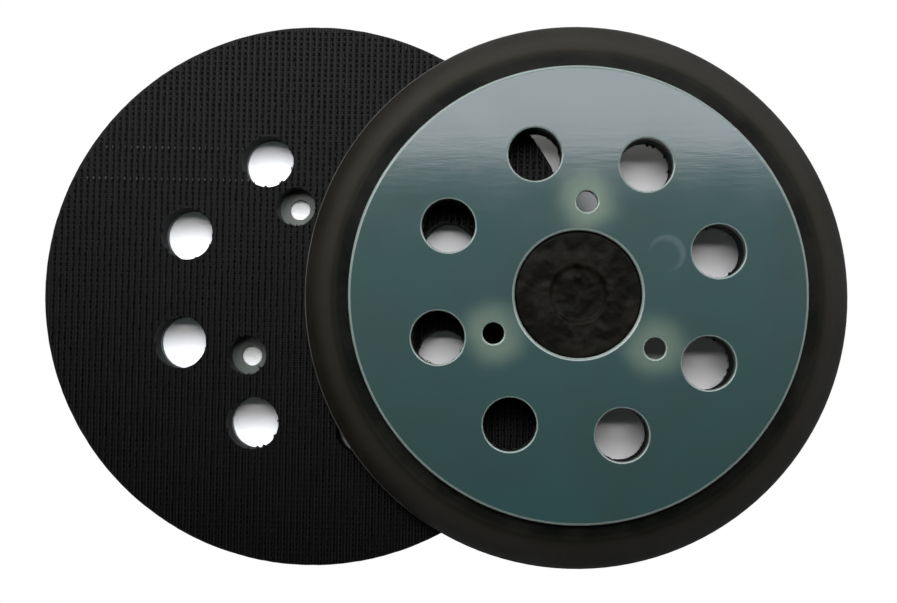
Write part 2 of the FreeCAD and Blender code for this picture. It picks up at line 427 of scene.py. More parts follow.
def mixed(tree, factor, first, second):
    """Mixes two colours."""
    node = add_node(tree, "ShaderNodeMix", data_type="RGBA")
    for socket, value in (("Factor_Float", factor), ("A_Color", first), ("B_Color", second)):
        target = next(item for item in node.inputs if item.identifier == socket)
        if isinstance(value, bpy.types.NodeSocket):
            tree.links.new(value, target)
        else:
            target.default_value = value
    return next(item for item in node.outputs if item.identifier == "Result_Color")


def effect(tree, group, inputs):
    """Places a node group and gives its first output."""
    return add_node(tree, "ShaderNodeGroup", inputs, node_tree=group).outputs[0]


# %% Grain, clouds, specks, spots and waver
def make_grain():
    """A fine uneven surface: a middling noise and a much finer one on top."""
    group, given, out = new_group("surface_grain", [("Vector", "Vector", None), ("Size", "Float", 0.001)],
                                  [("Height", "Float")])
    scale = math_node(group, "DIVIDE", 1.0, given["Size"])
    coarse = add_node(group, "ShaderNodeTexNoise", {"Vector": given["Vector"], "Scale": scale, "Detail": 3.0})
    finer = math_node(group, "MULTIPLY", scale, 4.3)
    fine = add_node(group, "ShaderNodeTexNoise", {"Vector": given["Vector"], "Scale": finer, "Detail": 2.0})
    weak = math_node(group, "MULTIPLY", fine.outputs["Fac"], 0.35)
    group.links.new(math_node(group, "ADD", coarse.outputs["Fac"], weak), out["Height"])
    return group


def make_clouds():
    """Broad soft patches that run from one colour to another."""
    group, given, out = new_group(
        "clouds",
        [("Vector", "Vector", None), ("Size", "Float", 0.02), ("First", "Color", None),
         ("Second", "Color", None)],
        [("Color", "Color")],
    )
    scale = math_node(group, "DIVIDE", 1.0, given["Size"])
    inputs = {"Vector": given["Vector"], "Scale": scale, "Detail": 4.0, "Roughness": 0.55, "Distortion": 0.4}
    patch = add_node(group, "ShaderNodeTexNoise", inputs)
    factor = fade(group, patch.outputs["Fac"], 0.32, 0.68)
    group.links.new(mixed(group, factor, given["First"], given["Second"]), out["Color"])
    return group


def make_specks():
    """Scattered pale specks, such as dust and lint. Amount is the share of cells that hold one."""
    group, given, out = new_group(
        "dust_specks",
        [("Vector", "Vector", None), ("Spacing", "Float", 0.003), ("Size", "Float", 0.08),
         ("Amount", "Float", 0.3)],
        [("Mask", "Float")],
    )
    scale = math_node(group, "DIVIDE", 1.0, given["Spacing"])
    cells = add_node(group, "ShaderNodeTexVoronoi", {"Vector": given["Vector"], "Scale": scale})
    chance = add_node(group, "ShaderNodeSeparateColor", [cells.outputs["Color"]])
    held = math_node(group, "LESS_THAN", chance.outputs[0], given["Amount"])
    size = math_node(group, "MULTIPLY", given["Size"], math_node(group, "ADD", chance.outputs[1], 0.4))
    near = fade(group, math_node(group, "DIVIDE", cells.outputs["Distance"], size), 1.0, 0.4)
    strength = math_node(group, "MULTIPLY", near, math_node(group, "ADD", chance.outputs[2], 0.3))
    group.links.new(math_node(group, "MULTIPLY", held, strength, clamp=True), out["Mask"])
    return group


def make_spot():
    """A round spot about a point: 1 out to Inner, falling to 0 at Outer."""
    group, given, out = new_group(
        "soft_spot",
        [("Vector", "Vector", None), ("Centre", "Vector", None), ("Inner", "Float", 0.0),
         ("Outer", "Float", 0.01)],
        [("Mask", "Float")],
    )
    offset = vector_node(group, "SUBTRACT", given["Vector"], given["Centre"])
    reach = level_reach(group, offset)
    group.links.new(fade(group, reach, given["Outer"], given["Inner"]), out["Mask"])
    return group


def make_waver():
    """Shifts a place by a soft noise, so that a pattern on it loses its perfect shape."""
    group, given, out = new_group(
        "waver",
        [("Vector", "Vector", None), ("Size", "Float", 0.01), ("Reach", "Float", 0.002)],
        [("Vector", "Vector")],
    )
    scale = math_node(group, "DIVIDE", 1.0, given["Size"])
    drift = add_node(group, "ShaderNodeTexNoise", {"Vector": given["Vector"], "Scale": scale, "Detail": 2.0})
    centred = vector_node(group, "SUBTRACT", drift.outputs["Color"], (0.5, 0.5, 0.5))
    inputs = {"Vector": centred, "Scale": given["Reach"]}
    sized = add_node(group, "ShaderNodeVectorMath", inputs, operation="SCALE").outputs[0]
    group.links.new(vector_node(group, "ADD", given["Vector"], sized), out["Vector"])
    return group


GRAIN = make_grain()
CLOUDS = make_clouds()
SPECKS = make_specks()
SPOT = make_spot()
WAVER = make_waver()
print("shader groups:", GRAIN.name, CLOUDS.name, SPECKS.name, SPOT.name, WAVER.name)


# %% Surface helpers
def pad_vector(tree, side, stretch=(1, 1, 1)):
    """The place on a piece, measured from its pad's centre line, in metres."""
    place = add_node(tree, "ShaderNodeTexCoord").outputs["Object"]
    centre = PLACE[side].translation
    inputs = [place, (-centre.x * stretch[0], -centre.y * stretch[1], 0), (0, 0, 0), stretch]
    return add_node(tree, "ShaderNodeMapping", inputs).outputs[0]


def bumps(tree, height, distance, strength=1.0, normal=None):
    """A bump of this height in metres, on top of another normal if one is given."""
    inputs = {"Height": height, "Distance": distance, "Strength": strength, "Normal": normal}
    return add_node(tree, "ShaderNodeBump", inputs).outputs["Normal"]


def surface(tree, **inputs):
    """Ends a material in one Principled shader with these inputs."""
    names = {name.replace("_", " "): value for name, value in inputs.items()}
    shader = add_node(tree, "ShaderNodeBsdfPrincipled", names)
    tree.links.new(shader.outputs[0], tree.nodes["Material Output"].inputs["Surface"])


# %% [markdown]
# ## The backing plate
# The plate is moulded from glass-filled nylon, blue-green and faintly translucent, so it goes pale where
# light gets in: along every rounded edge, and round the screw holes, which have an empty pocket behind them.
# That light is painted into the colour, as a painted glow. The mesh already knows its edges, so it carries
# the edge glow as an attribute, 1 on an edge and 0 a little way in. The glow round each screw hole is painted
# as a soft round spot with a wavering outline.

# %% Plate plastic
TEAL = (0.040, 0.102, 0.104, 1.0)
TEAL_WARM = (0.041, 0.094, 0.086, 1.0)
# A pale tone: the painted glow along the plate's edges, and also the colour of the real dust specks and of
# the mould's mark.
PALE_GLOW_AND_DUST = (0.46, 0.56, 0.50, 1.0)
# Painted glow round the screw holes, where light comes through the plate: its colour, reach, how it gathers,
# and each hole's strength.
SCREW_GLOW = {"front": (0.215, 0.300, 0.235, 1.0), "rear": (0.30, 0.33, 0.29, 1.0)}
SCREW_GLOW_REACH = 10.5 * MM
SCREW_GLOW_FALL = 1.6           # above 1, a halo gathers round its hole
SCREW_GLOW_STRENGTH = {"front": (0.95, 0.80, 0.75), "rear": (1.0, 1.0, 1.0)}
MOULD_MARK = (19.9 * MM, 9.2 * MM, 0.0)
MOULD_MARK_INSIDE = (19.2 * MM, 8.5 * MM, 0.0)
MOULD_MARK_R = 4.2 * MM   # a faint crescent that the mould left
MARK_PALENESS = 0.12
EDGE_GLOW_SHARE = 0.75


def plate_plastic(side):
    material, tree = empty_material(f"{side}_plate_plastic")
    place = pad_vector(tree, side)
    colour = effect(tree, CLOUDS, {"Vector": place, "Size": 0.028, "First": TEAL, "Second": TEAL_WARM})
    wavy = effect(tree, WAVER, {"Vector": place, "Size": 0.011, "Reach": 0.0045})
    turn = PLACE[side].to_3x3()
    # A painted glow of light through the plate, round each screw hole.
    for (x, y), strength in zip(SCREW_HOLES[side], SCREW_GLOW_STRENGTH[side]):
        inputs = {"Vector": wavy, "Centre": turn @ Vector((x, y, 0)), "Inner": SCREW_R, "Outer": SCREW_GLOW_REACH}
        spread = math_node(tree, "POWER", effect(tree, SPOT, inputs), SCREW_GLOW_FALL)
        glow = math_node(tree, "MULTIPLY", spread, strength)
        colour = mixed(tree, glow, colour, SCREW_GLOW[side])
    inner = {"Vector": place, "Centre": MOULD_MARK_INSIDE,
             "Inner": MOULD_MARK_R - 1.2 * MM, "Outer": MOULD_MARK_R}
    outer = {"Vector": place, "Centre": MOULD_MARK,
             "Inner": MOULD_MARK_R - 0.4 * MM, "Outer": MOULD_MARK_R + 0.3 * MM}
    mark = math_node(tree, "SUBTRACT", effect(tree, SPOT, outer), effect(tree, SPOT, inner), clamp=True)
    colour = mixed(tree, math_node(tree, "MULTIPLY", mark, MARK_PALENESS), colour, PALE_GLOW_AND_DUST)
    # A painted glow along every rounded edge, which the mesh carries as an attribute.
    edge_glow_mask = add_node(tree, "ShaderNodeAttribute", attribute_name="painted_edge_glow").outputs["Fac"]
    colour = mixed(tree, math_node(tree, "MULTIPLY", edge_glow_mask, EDGE_GLOW_SHARE), colour, PALE_GLOW_AND_DUST)
    specks = effect(tree, SPECKS, {"Vector": place, "Spacing": 0.006, "Size": 0.03, "Amount": 0.35})
    colour = mixed(tree, math_node(tree, "MULTIPLY", specks, 0.25), colour, PALE_GLOW_AND_DUST)
    smears = effect(tree, GRAIN, {"Vector": place, "Size": 0.012})
    ripples = effect(tree, GRAIN, {"Vector": pad_vector(tree, side, (0.16, 1, 1)), "Size": 0.0012})
    grain = effect(tree, GRAIN, {"Vector": place, "Size": 0.0006})
    normal = bumps(tree, grain, 0.0000015, normal=bumps(tree, ripples, 0.000008))
    surface(tree, Base_Color=colour, Roughness=fade(tree, smears, 0.4, 1.0, 0.10, 0.14), Normal=normal,
            Specular_IOR_Level=1.0)
    return material


# %% Plate mesh
# How far the painted edge glow runs down a wall from its bevel.
GLOW_FADE = 0.25 * MM     # how far the paleness reaches down a wall from its bevel


def plate_wall(shape, edge_glow, centre, radius, bevel, inward, steps):
    """One edge or hole of the plate. Gives the rings at its bottom and at its top."""
    profile = [(radius, PLATE_BASE), (radius, PAD_TOP - bevel - GLOW_FADE)]
    profile += rounded(radius, PAD_TOP, bevel, inward)
    rings = wall(shape, centre, profile, steps)
    # Marks the bevel and a little of the wall below it for the painted edge glow.
    for points in rings[2:-1]:
        for point in points:
            point[edge_glow] = 1.0
    return rings[0], rings[-1]


def make_plate(side):
    shape = bmesh.new()
    edge_glow = shape.verts.layers.float.new("painted_edge_glow")
    edges = [plate_wall(shape, edge_glow, (0, 0), PLATE_R, RIM_BEVEL, 1, RIM_STEPS)]
    edges.append(plate_wall(shape, edge_glow, (0, 0), HUB_R, RIM_BEVEL, -1, PLUG_STEPS))
    for centre in DUST_HOLES[side]:
        edges.append(plate_wall(shape, edge_glow, centre, DUST_R, HOLE_BEVEL, -1, HOLE_STEPS))
    for centre in SCREW_HOLES[side]:
        edges.append(plate_wall(shape, edge_glow, centre, SCREW_R, HOLE_BEVEL, -1, HOLE_STEPS))
    smooth_walls(shape)
    level_face(shape, [bottom for bottom, top in edges])
    level_face(shape, [top for bottom, top in edges])
    plate = finished_piece(shape, f"{side}_plate", side, plate_plastic(side))
    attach(plate, f"{side}_pad")
    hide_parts(f"{side}_backing_plate")


for side in SIDES:
    make_plate(side)

# %% [markdown]
# ## The foam cushion
# The foam is moulded round the plate. It has a closed skin, a level ledge beside the plate, a rounded
# shoulder, a slope that bulges a little, and a short upright skirt. Its plug fills the plate's centre hole
# and has a dimple and a nub from the mould. Where the holes are cut the foam is open and torn, so those walls
# are rough. It is soft, but moulded to a fixed shape that nothing presses on, so a section turned round the
# middle makes it, and no cloth simulation is needed.

# %% Foam skin
FOAM_PLUG = (0.0038, 0.0034, 0.0020, 1.0)
FOAM_MOTTLE = (0.026, 0.025, 0.020, 1.0)
FOAM_LEDGE = (0.0025, 0.0040, 0.0025, 1.0)
# The shoulder's lighter tone is a painted highlight along the rounded shoulder.
FOAM_SHOULDER_HIGHLIGHT = (0.031, 0.029, 0.022, 1.0)
FOAM_SLOPE = (0.014, 0.013, 0.009, 1.0)
FOAM_HAZE = (0.040, 0.038, 0.033, 1.0)
FOAM_CUT = (0.014, 0.015, 0.015, 1.0)
SEAT_R = PLATE_R + PLATE_FIT
SHOULDER_R = SEAT_R + LEDGE_WIDTH


def radial_colours(tree, reach, bands):
    """A colour that depends on how far out a point is. bands are (radius, colour), from the middle out."""
    scaled = math_node(tree, "DIVIDE", reach, PAD_R)
    ramp = add_node(tree, "ShaderNodeValToRGB", [scaled])
    stops = ramp.color_ramp.elements
    while len(stops) < len(bands):
        stops.new(1.0)
    for stop, (radius, colour) in zip(stops, bands):
        stop.position = radius / PAD_R
        stop.color = colour
    return ramp.outputs["Color"]


def foam_skin(side):
    material, tree = empty_material(f"{side}_foam_skin")
    place = pad_vector(tree, side)
    reach = level_reach(tree, place)
    # Darker on the ledge, then a lighter band on the shoulder, which is a painted highlight, then the slope's
    # tone.
    bands = [(HUB_R, FOAM_PLUG), (HUB_R + MM, FOAM_LEDGE), (SHOULDER_R - MM, FOAM_LEDGE)]
    bands += [(SHOULDER_R + 1.2 * MM, FOAM_SHOULDER_HIGHLIGHT), (SHOULDER_R + 3.0 * MM, FOAM_SHOULDER_HIGHLIGHT)]
    bands += [(SHOULDER_R + 5.4 * MM, FOAM_SLOPE), (FOAM_R, FOAM_SLOPE)]
    colour = radial_colours(tree, reach, bands)
    patches = effect(tree, CLOUDS, {"Vector": place, "Size": 0.0055, "First": grey(0.0), "Second": grey(1.0)})
    mottle = fade(tree, patches, 0.2, 1.0, 0.0, 0.45)
    rim = math_node(tree, "GREATER_THAN", reach, HUB_R)
    haze = effect(tree, CLOUDS, {"Vector": place, "Size": 0.014, "First": grey(0.0), "Second": grey(0.35)})
    on_plug = math_node(tree, "SUBTRACT", 1.0, rim)
    colour = mixed(tree, math_node(tree, "MULTIPLY", mottle, on_plug), colour, FOAM_MOTTLE)
    colour = mixed(tree, math_node(tree, "MULTIPLY", haze, rim), colour, FOAM_HAZE)
    specks = effect(tree, SPECKS, {"Vector": place, "Spacing": 0.0022, "Size": 0.16, "Amount": 0.25})
    colour = mixed(tree, math_node(tree, "MULTIPLY", specks, 0.3), colour, FOAM_HAZE)
    cut = add_node(tree, "ShaderNodeAttribute", attribute_name="cut_foam").outputs["Fac"]
    colour = mixed(tree, cut, colour, FOAM_CUT)
    grain = effect(tree, GRAIN, {"Vector": place, "Size": 0.0007})
    smooth = fade(tree, reach, SHOULDER_R - MM, SHOULDER_R + MM, 0.36, 0.48)
    rough = math_node(tree, "ADD", smooth, math_node(tree, "MULTIPLY", grain, 0.12))
    scuffs = effect(tree, GRAIN, {"Vector": place, "Size": 0.0026})
    normal = bumps(tree, scuffs, 0.00012, 0.6, normal=bumps(tree, grain, 0.00006, 0.7))
    surface(tree, Base_Color=colour, Roughness=rough, Normal=normal,
            Specular_IOR_Level=fade(tree, reach, SHOULDER_R - MM / 2, SHOULDER_R + 2 * MM, 0.08, 0.24))
    return material


# %% Foam mesh
SLOPE_STEPS = 12
SLOPE_BULGE = 0.4 * MM
SKIN_ROUGHNESS = 0.05 * MM
PLUG_ROUGHNESS = 0.16 * MM
PLUG_ROUND = 0.4 * MM
DIMPLE_SLOPE = 1.3 * MM   # width of the dimple's sloping wall
DIMPLE_STEPS = 5
NUB = Vector((0.0, 3.7 * MM))
NUB_R = 0.6 * MM
NUB_HEIGHT = 0.35 * MM
CUT_STEPS = 8             # facets up a cut wall
TEAR_DEPTH = 0.12 * MM    # roughness of the cut walls
SHRED_REACH = 0.6 * MM    # loose shreds at a cut wall's lower edge


def foam_side_profile():
    """The foam's outside, from the film up and over to the seat that holds the plate."""
    ledge = PLATE_BASE + PLATE_SUNK
    skirt_top = FOAM_BASE + SKIRT_RISE
    fall = math.atan2(ledge - skirt_top, FOAM_R - SHOULDER_R)
    pull_back = SHOULDER_ROUND * math.tan(fall / 2)
    middle = (SHOULDER_R - pull_back, ledge - SHOULDER_ROUND)
    start = (middle[0] + SHOULDER_ROUND * math.sin(fall), middle[1] + SHOULDER_ROUND * math.cos(fall))
    profile = [(FOAM_R, FOAM_BASE), (FOAM_R, FOAM_BASE + SKIRT_RISE / 2)]
    for step in range(SLOPE_STEPS + 1):
        share = step / SLOPE_STEPS
        bulge = SLOPE_BULGE * math.sin(math.pi * share)
        radius = FOAM_R + (start[0] - FOAM_R) * share + bulge * math.sin(fall)
        profile.append((radius, skirt_top + (start[1] - skirt_top) * share + bulge * math.cos(fall)))
    for step in range(1, ROUND_STEPS + 1):
        angle = fall * (1 - step / ROUND_STEPS)
        out, up = SHOULDER_ROUND * math.sin(angle), SHOULDER_ROUND * math.cos(angle)
        profile.append((middle[0] + out, middle[1] + up))
    profile += [(SEAT_R + LEDGE_WIDTH * share, ledge) for share in (0.6, 0.3, 0.06, 0.0)]
    profile.append((SEAT_R, PLATE_BASE))
    return profile


def plug_profile():
    """The plug in the plate's centre hole, from its foot to the middle of its dimple."""
    radius = HUB_R - PLATE_FIT
    low = PLUG_TOP - DIMPLE_DEPTH
    profile = [(radius, PLATE_BASE)] + rounded(radius, PLUG_TOP, PLUG_ROUND, 1)
    spacing = 0.55 * MM
    outer = radius - PLUG_ROUND - spacing
    while outer > DIMPLE_R + DIMPLE_SLOPE / 2:
        profile.append((outer, PLUG_TOP))
        outer -= spacing
    for step in range(DIMPLE_STEPS + 1):
        share = step / DIMPLE_STEPS
        sunk = DIMPLE_DEPTH * (1 - math.cos(math.pi * share)) / 2
        profile.append((DIMPLE_R + DIMPLE_SLOPE * (0.4 - share), PLUG_TOP - sunk))
    inner = DIMPLE_R - 0.6 * DIMPLE_SLOPE - spacing
    while inner > spacing:
        profile.append((inner, low))
        inner -= spacing
    return profile


def close_pole(shape, points):
    """Closes the innermost ring of the plug on one point."""
    height = sum(point.co.z for point in points) / len(points)
    pole = shape.verts.new((0, 0, height))
    for step, point in enumerate(points):
        shape.faces.new((point, points[(step + 1) % len(points)], pole))
    return pole


def roughen(points, depth, size):
    """Moves points up or down by a soft unevenness."""
    for point in points:
        point.co.z += depth * noise.fractal(point.co / size, 0.8, 2.0, 2)


def tear(rings, centre, seed):
    """Roughens a hole's cut wall, and lets a few shreds hang in from its lower rings."""
    for height, points in enumerate(rings):
        for point in points:
            out = Vector((point.co.x - centre[0], point.co.y - centre[1], 0)).normalized()
            shift = TEAR_DEPTH * (0.4 + noise.noise(point.co / (0.8 * MM) + Vector((seed, 0, 0))))
            if height < 2:
                shred = noise.noise(out * 12 + Vector((0, seed * 3.7, 1.3))) - 0.25
                shift -= max(0.0, shred) * 3.6 * SHRED_REACH
            point.co += out * shift


def make_foam(side):
    shape = bmesh.new()
    openness = shape.verts.layers.float.new("cut_foam")
    outside = wall(shape, (0, 0), foam_side_profile(), RIM_STEPS)
    plug = wall(shape, (0, 0), plug_profile(), PLUG_STEPS)
    pole = close_pole(shape, plug[-1])
    rise = (PLATE_BASE - FOAM_BASE) / CUT_STEPS
    cuts = hole_walls(shape, side, [FOAM_BASE + rise * step for step in range(CUT_STEPS + 1)])
    smooth_walls(shape)
    for seed, (rings, centre) in enumerate(zip(cuts, DUST_HOLES[side] + SCREW_HOLES[side])):
        tear(rings, centre, seed)
        for points in rings:
            for point in points:
                point[openness] = 1.0
    level_face(shape, [outside[0]] + [rings[0] for rings in cuts])
    level_face(shape, [outside[-1], plug[0]] + [rings[-1] for rings in cuts])
    for points in outside[1:-2]:
        roughen(points, SKIN_ROUGHNESS, 3 * MM)
    for points in plug[2:] + [[pole]]:
        roughen(points, PLUG_ROUGHNESS, 2.2 * MM)
        for point in points:
            away = (point.co.xy - NUB).length / NUB_R
            point.co.z += NUB_HEIGHT * math.exp(-away * away)
    foam = finished_piece(shape, f"{side}_foam", side, foam_skin(side), crease=50.0)
    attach(foam, f"{side}_pad")
    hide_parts(f"{side}_foam_cushion")


for side in SIDES:
    make_foam(side)

# %% [markdown]
# ## The adhesive film
# The film is a plain thin disc, which the model already has in the right shape, so it only gets a finish. All
# that shows of it is a pale line round the pad and a thin ring in each hole.

# %% Film finish
FILM = (0.115, 0.108, 0.094, 1.0)
FILM_DIRTY = (0.050, 0.047, 0.042, 1.0)


def film_finish(side):
    material, tree = empty_material(f"{side}_adhesive_film")
    place = pad_vector(tree, side)
    colour = effect(tree, CLOUDS, {"Vector": place, "Size": 0.009, "First": FILM, "Second": FILM_DIRTY})
    grain = effect(tree, GRAIN, {"Vector": place, "Size": 0.0005})
    surface(tree, Base_Color=colour, Roughness=fade(tree, grain, 0.3, 1.0, 0.35, 0.55),
            Normal=bumps(tree, grain, 0.00002))
    return material


for side in SIDES:
    film = frame["nodes"][f"{side}_adhesive_film"]
    film.data.materials.clear()
    film.data.materials.append(film_finish(side))
    print(film.name, "has its finish")

# %% [markdown]
# ## The hook cloth
# The cloth is a woven nylon ground, cut to a disc with the pad's holes, and thousands of small hooks stand
# on it in rows. The ground is a thin closed mesh whose cut edges are slightly uneven. Its weave is far finer
# than a hook, so it is a bump: ribs along the rows, crossed by finer threads.

# %% Cloth ground
COLUMN_PITCH = 1.44 * MM
ROW_PITCH = 1.22 * MM
LATTICE_TURN = {"rear": math.radians(1.0), "front": math.radians(-34.0)}
CLOTH_FACE = HOOK_THICK - CLOTH_THICK
CUT_UNEVENNESS = 0.12 * MM
WAVE_LENGTH = 0.314       # the length of one wave of Blender's wave texture, at a scale of 1
CLOTH = (0.0006, 0.0006, 0.0004, 1.0)
CLOTH_WORN = (0.0016, 0.0016, 0.0012, 1.0)


def woven_cloth(side):
    material, tree = empty_material(f"{side}_hook_cloth")
    place = pad_vector(tree, side)
    turned = add_node(tree, "ShaderNodeMapping", [place, None, (0, 0, LATTICE_TURN[side])]).outputs[0]
    across = add_node(tree, "ShaderNodeTexWave", {"Vector": turned, "Scale": WAVE_LENGTH / COLUMN_PITCH * 2})
    along = add_node(tree, "ShaderNodeTexWave", {"Vector": turned, "Scale": WAVE_LENGTH / ROW_PITCH * 3},
                     bands_direction="Y")
    weave = math_node(tree, "MULTIPLY", across.outputs["Fac"], along.outputs["Fac"])
    colour = effect(tree, CLOUDS, {"Vector": place, "Size": 0.006, "First": CLOTH, "Second": CLOTH_WORN})
    surface(tree, Base_Color=colour, Roughness=fade(tree, weave, 0.0, 1.0, 0.34, 0.24),
            Normal=bumps(tree, weave, 0.00004), Specular_IOR_Level=0.15)
    return material


def cut_edge(rings, seed):
    """Makes a cut through the cloth slightly uneven, without growing the disc."""
    for points in rings:
        for point in points:
            out = Vector((point.co.x, point.co.y, 0)).normalized()
            point.co -= out * CUT_UNEVENNESS * abs(noise.noise(point.co / MM + Vector((seed, 0, 0))))


def make_cloth(side):
    shape = bmesh.new()
    levels = (CLOTH_FACE, CLOTH_FACE + CLOTH_THICK / 2, HOOK_THICK)
    cuts = [wall(shape, (0, 0), [(PAD_R, level) for level in levels], RIM_STEPS)]
    cuts += hole_walls(shape, side, levels)
    smooth_walls(shape)
    for seed, rings in enumerate(cuts):
        cut_edge(rings, seed)
    level_face(shape, [rings[0] for rings in cuts])
    level_face(shape, [rings[-1] for rings in cuts])
    cloth = finished_piece(shape, f"{side}_hook_cloth", side, woven_cloth(side))
    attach(cloth, f"{side}_pad")
    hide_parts(f"{side}_hook_sheet")
    return cloth


cloths = {side: make_cloth(side) for side in SIDES}

# %% [markdown]
# ## The hooks
# Hooks repeat on a grid, which is work for Geometry Nodes. The tree lays a grid over the cloth and drops
# every point that isn't on cloth, so the holes stay open without being listed. Then it stands a small hook on
# each point, and leans each one a little at random. A hook is a three-sided thread along a bent curve: a few
# dozen faces, because there are thousands of them.

# %% Hook nylon
NYLON = (0.008, 0.008, 0.007, 1.0)
NYLON_DARK = (0.0010, 0.0010, 0.0007, 1.0)


def hook_nylon(side):
    material, tree = empty_material(f"{side}_hook_nylon")
    place = pad_vector(tree, side)
    colour = effect(tree, CLOUDS, {"Vector": place, "Size": 0.0035, "First": NYLON, "Second": NYLON_DARK})
    specks = effect(tree, SPECKS, {"Vector": place, "Spacing": 0.004, "Size": 0.08, "Amount": 0.2})
    colour = mixed(tree, math_node(tree, "MULTIPLY", specks, 0.4), colour, grey(0.06))
    grain = effect(tree, GRAIN, {"Vector": place, "Size": 0.0004})
    surface(tree, Base_Color=colour, Roughness=fade(tree, grain, 0.3, 1.0, 0.26, 0.36),
            Normal=bumps(tree, grain, 0.000008), Specular_IOR_Level=0.12)
    return material


# %% Hook field
class Tree:
    """A Geometry Nodes tree under construction."""

    def __init__(self, name, inputs):
        self.group = bpy.data.node_groups.new(name, "GeometryNodeTree")
        self.group.interface.new_socket(name="Geometry", in_out="INPUT", socket_type="NodeSocketGeometry")
        self.group.interface.new_socket(name="Geometry", in_out="OUTPUT", socket_type="NodeSocketGeometry")
        for label, kind in inputs:
            self.group.interface.new_socket(name=label, in_out="INPUT", socket_type=f"NodeSocket{kind}")
        self.given = self.group.nodes.new("NodeGroupInput").outputs

    def add(self, kind, inputs=(), **settings):
        return add_node(self.group, kind, inputs, **settings)

    def math(self, operation, first, second=None):
        return self.add("ShaderNodeMath", [first, second], operation=operation).outputs[0]

    def vector(self, x=0.0, y=0.0, z=0.0):
        return self.add("ShaderNodeCombineXYZ", [x, y, z]).outputs[0]

    def random_size(self, low, high):
        inputs = {2: low, 3: high, "Seed": self.given["Seed"]}
        return self.add("FunctionNodeRandomValue", inputs, data_type="FLOAT").outputs[1]

    def turned(self, geometry, lift=None):
        """Turns geometry to the lattice, and lifts it if a shift is given."""
        inputs = {"Geometry": geometry, "Translation": lift, "Rotation": self.vector(z=self.given["Turn"])}
        return self.add("GeometryNodeTransform", inputs).outputs[0]

    def without(self, geometry, mask):
        inputs = {"Geometry": geometry, "Selection": mask}
        return self.add("GeometryNodeDeleteGeometry", inputs, domain="POINT").outputs[0]

    def stand_hooks(self, points, rotation, size):
        """Stands a hook on each point and ends the tree in a plain mesh with its material."""
        inputs = {"Points": points, "Instance": one_hook(self), "Rotation": rotation, "Scale": size}
        placed = self.add("GeometryNodeInstanceOnPoints", inputs)
        real = self.add("GeometryNodeRealizeInstances", [placed.outputs[0]])
        inputs = {"Geometry": real.outputs[0], "Material": self.given["Material"]}
        done = self.add("GeometryNodeSetMaterial", inputs)
        output = self.group.nodes.new("NodeGroupOutput")
        self.group.links.new(done.outputs[0], output.inputs["Geometry"])


SHARED_INPUTS = [("Column Pitch", "Float"), ("Turn", "Float"), ("Face Height", "Float"),
                 ("Hook Height", "Float"), ("Hook Reach", "Float"), ("Hook Radius", "Float"),
                 ("Seed", "Int"), ("Material", "Material")]
FIELD_INPUTS = [("Row Pitch", "Float"), ("Field Width", "Float"), ("Edge Margin", "Float"), ("Lean", "Float")]


ON_CLOTH = 0.02 * MM      # a point this near to the cloth's face counts as on it


def away_from_cloth(tree):
    """A mask of the points that have no cloth right below them, such as those in a hole."""
    near = tree.add("GeometryNodeProximity", [tree.given["Geometry"]], target_element="FACES")
    return tree.math("GREATER_THAN", near.outputs["Distance"], ON_CLOTH)


def grid_points(tree):
    """A turned grid of points, less those that aren't on the cloth."""
    given = tree.given
    counts, sides = [], []
    for pitch in (given["Column Pitch"], given["Row Pitch"]):
        steps = tree.math("FLOOR", tree.math("DIVIDE", given["Field Width"], pitch))
        counts.append(tree.math("ADD", steps, 1.0))
        sides.append(tree.math("MULTIPLY", steps, pitch))
    grid = tree.add("GeometryNodeMeshGrid", [*sides, *counts]).outputs["Mesh"]
    placed = tree.turned(grid, tree.vector(z=given["Face Height"]))
    place = tree.add("GeometryNodeInputPosition").outputs[0]
    limit = tree.math("SUBTRACT", tree.math("MULTIPLY", given["Field Width"], 0.5), given["Edge Margin"])
    outside = tree.math("GREATER_THAN", level_reach(tree.group, place), limit)
    return tree.without(placed, tree.math("MAXIMUM", away_from_cloth(tree), outside))


def one_hook(tree):
    """A bent thread that rises, turns over and points back down."""
    given = tree.given
    back = tree.math("MULTIPLY", given["Hook Reach"], -0.5)
    ahead = tree.math("MULTIPLY", given["Hook Reach"], 0.5)
    rise = tree.math("MULTIPLY", given["Hook Height"], -1.3)
    tip = tree.math("MULTIPLY", given["Hook Height"], -0.45)
    inputs = {"Resolution": 5, "Start": tree.vector(y=back), "Start Handle": tree.vector(y=back, z=rise),
              "End Handle": tree.vector(y=ahead, z=rise), "End": tree.vector(y=ahead, z=tip)}
    bend = tree.add("GeometryNodeCurvePrimitiveBezierSegment", inputs, mode="POSITION").outputs[0]
    section = tree.add("GeometryNodeCurvePrimitiveCircle", {"Resolution": 3, "Radius": given["Hook Radius"]})
    thread = tree.add("GeometryNodeCurveToMesh", {"Curve": bend, "Profile Curve": section.outputs[0],
                                                  "Fill Caps": True})
    return tree.add("GeometryNodeSetShadeSmooth", {"Geometry": thread.outputs[0]}).outputs[0]


def hook_field_tree():
    tree = Tree("hook_field", SHARED_INPUTS + FIELD_INPUTS)
    lean = tree.given["Lean"]
    back = tree.math("MULTIPLY", lean, -1.0)
    inputs = {"Min": tree.vector(back, back, back), "Max": tree.vector(lean, lean, lean),
              "Seed": tree.given["Seed"]}
    tilt = tree.add("FunctionNodeRandomValue", inputs, data_type="FLOAT_VECTOR").outputs[0]
    rotation = vector_node(tree.group, "ADD", tilt, tree.vector(z=tree.given["Turn"]))
    tree.stand_hooks(grid_points(tree), rotation, tree.random_size(0.88, 1.06))
    return tree.group


HOOK_FIELD = hook_field_tree()
print("hook tree:", len(HOOK_FIELD.nodes), "nodes")


